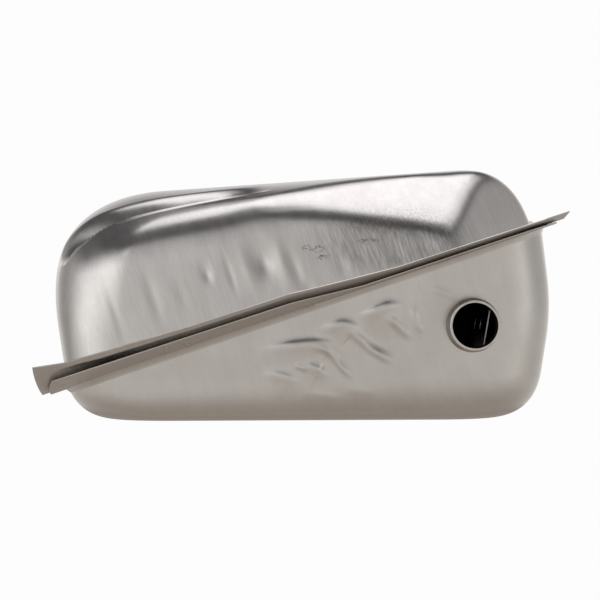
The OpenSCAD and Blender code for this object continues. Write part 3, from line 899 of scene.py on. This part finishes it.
def studio_world():
    """Soft studio all round: bands of brightness by height, with soft lights and flags laid over them."""
    world = bpy.data.worlds.new("studio")
    bpy.context.scene.world = world
    world.use_nodes = True
    n = Nodes(world.node_tree)
    way = n.add("ShaderNodeTexCoord").outputs["Generated"]
    xyz = n.add("ShaderNodeSeparateXYZ", {"Vector": way})
    side = n.math("ARCTAN2", xyz.outputs["X"], n.math("MULTIPLY", xyz.outputs["Y"], -1.0))
    azimuth = n.math("MULTIPLY", side, 180 / math.pi)
    elevation = n.math("MULTIPLY", n.math("ARCSINE", xyz.outputs["Z"]), 180 / math.pi)

    def soft_patch(centre, size, edge):
        turn = n.add("ShaderNodeMath", {0: n.math("SUBTRACT", azimuth, centre[0]), 1: 180.0, 2: -180.0},
                     operation="WRAP").outputs[0]
        across = n.math("POWER", n.math("DIVIDE", n.math("ABSOLUTE", turn), size[0]), edge)
        rise = n.math("ABSOLUTE", n.math("SUBTRACT", elevation, centre[1]))
        along = n.math("POWER", n.math("DIVIDE", rise, size[1]), edge)
        return n.math("EXPONENT", n.math("MULTIPLY", n.math("ADD", across, along), -1.0))

    height = n.math("ADD", n.math("DIVIDE", elevation, 180.0), 0.5)
    light = n.ramp(height, [(e / 180 + 0.5, (v, v, v)) for e, v in STUDIO_HEIGHT])
    for centre, size, edge, value in STUDIO_PATCHES:
        light = n.mix(soft_patch(centre, size, edge), light, (value, value, value))
    tint = n.ramp(height, STUDIO_TINT)
    light = n.mix(1.0, light, tint, "MULTIPLY")
    seen = n.add("ShaderNodeLightPath").outputs["Is Camera Ray"]
    final = n.mix(seen, light, BACKDROP)
    back_node = n.add("ShaderNodeBackground", {"Color": final, "Strength": 1.0})
    n.add("ShaderNodeOutputWorld", {"Surface": back_node.outputs["Background"]})


def pale_floor():
    """Pale floor that only the camera sees, so the steel reflects the studio world below it."""
    bpy.ops.mesh.primitive_plane_add(size=12, location=(0, 3, -0.0005))
    floor = bpy.context.object
    floor.name = "floor"
    mat = bpy.data.materials.new("floor")
    mat.use_nodes = True
    n = Nodes(mat.node_tree)
    seen = n.add("ShaderNodeLightPath").outputs["Is Camera Ray"]
    direct = n.add("ShaderNodeEmission", {"Color": (*BACKDROP, 1), "Strength": 1.0})
    clear = n.add("ShaderNodeBsdfTransparent")
    out = n.add("ShaderNodeMixShader", {0: seen, 1: clear.outputs["BSDF"], 2: direct.outputs["Emission"]})
    n.add("ShaderNodeOutputMaterial", {"Surface": out.outputs["Shader"]})
    floor.data.materials.append(mat)


def soft_box(name, place, aim, size, power):
    light = bpy.data.lights.new(name, "AREA")
    light.shape = "RECTANGLE"
    light.size, light.size_y = size
    light.energy = power
    obj = bpy.data.objects.new(name, light)
    obj.location = place
    obj.rotation_euler = (Vector(aim) - Vector(place)).to_track_quat("-Z", "Y").to_euler()
    bpy.context.collection.objects.link(obj)


studio_world()
pale_floor()
soft_box("top_box", (0.1, -0.2, 1.9), (0, 0, 0.1), (1.6, 1.2), 1.5)


# ---------------------------------------------------------------- camera, level with the middle of the tank
CAMERA_HEIGHT, CAMERA_DISTANCE = 0.1087, 1.595      # metres
CAMERA_SENSOR, CAMERA_LENS = 36, 102.3              # mm
camera_data = bpy.data.cameras.new("camera")
camera_data.sensor_width = CAMERA_SENSOR
camera_data.lens = CAMERA_LENS
camera = bpy.data.objects.new("camera", camera_data)
camera.location = (0, -CAMERA_DISTANCE, CAMERA_HEIGHT)
camera.rotation_euler = (math.pi / 2, 0, 0)
bpy.context.collection.objects.link(camera)
bpy.context.scene.camera = camera
bpy.context.scene.view_settings.view_transform = "Standard"
